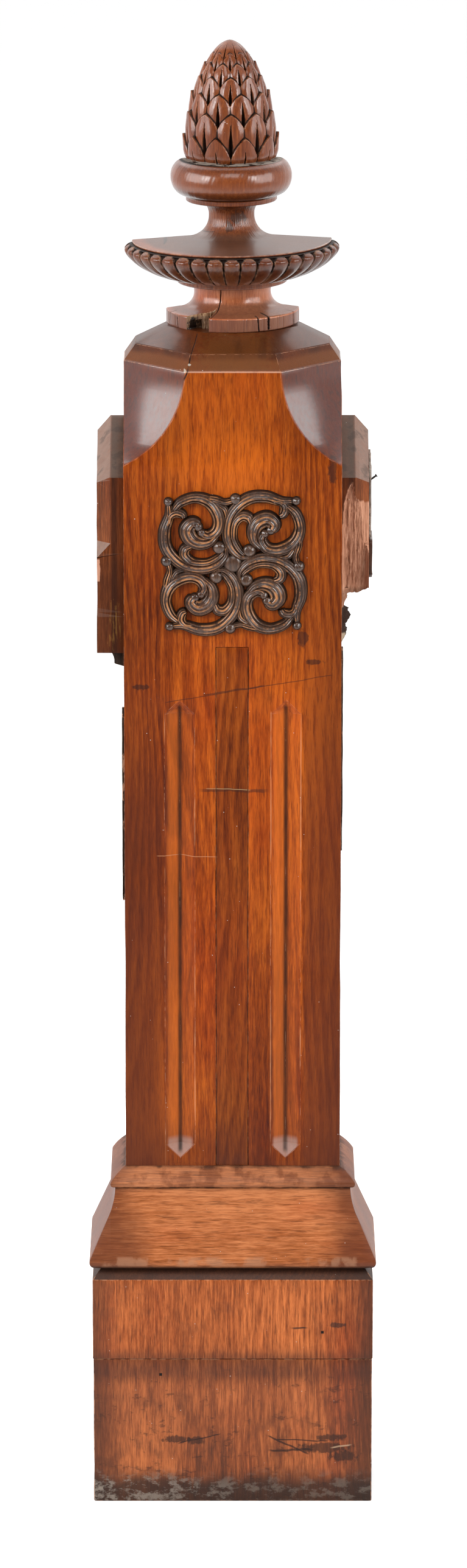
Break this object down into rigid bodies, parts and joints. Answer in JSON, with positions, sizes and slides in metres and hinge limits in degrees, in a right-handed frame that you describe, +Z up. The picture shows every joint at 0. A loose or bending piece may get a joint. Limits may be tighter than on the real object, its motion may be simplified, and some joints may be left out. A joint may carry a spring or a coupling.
{
  "type": "newel post",
  "caption": "Carved walnut half newel post: square base with skirt moulding, grooved shaft with rail pads and a pierced scroll ornament, and a gadrooned dish finial with a scaled cone",
  "frame": {"origin": "middle of the foot's rectangle, on the floor", "axes": "+Z up along the post, front towards -Y, flat sawn back towards +Y, +X to the right as seen from the front"},
  "size_m": [0.313, 0.1564, 1.597],
  "materials": {
    "plinth_wood": "worn satin varnish",
    "moulding_wood": "dry worn varnish",
    "shaft_wood": "satin varnish",
    "pad_wood": "satin varnish, torn on the right",
    "raw_wood": "raw torn wood",
    "black_wood": "blackened wood",
    "scroll_wood": "dark bronzed varnish",
    "finial_wood": "glossy varnish",
    "nail_iron": "dull iron"
  },
  "bodies": {
    "root": {"plinth_lower": "plinth_wood", "plinth_upper": "plinth_wood", "skirt_front": "moulding_wood", "skirt_left": "moulding_wood", "skirt_right": "moulding_wood", "collar_front": "moulding_wood", "collar_left": "moulding_wood", "collar_right": "moulding_wood", "shaft": "shaft_wood", "centre_strip": "shaft_wood", "scroll_ornament": "scroll_wood", "pad_left": "pad_wood", "pad_left_under": "black_wood", "pad_right": "pad_wood", "rail_remnant": "raw_wood", "rail_stub": "black_wood", "nail": "nail_iron", "back_strip_left": "black_wood", "back_strip_right": "black_wood", "finial_foot": "finial_wood", "finial_dish": "finial_wood", "finial_cone": "finial_wood"}
  },
  "joints": []
}
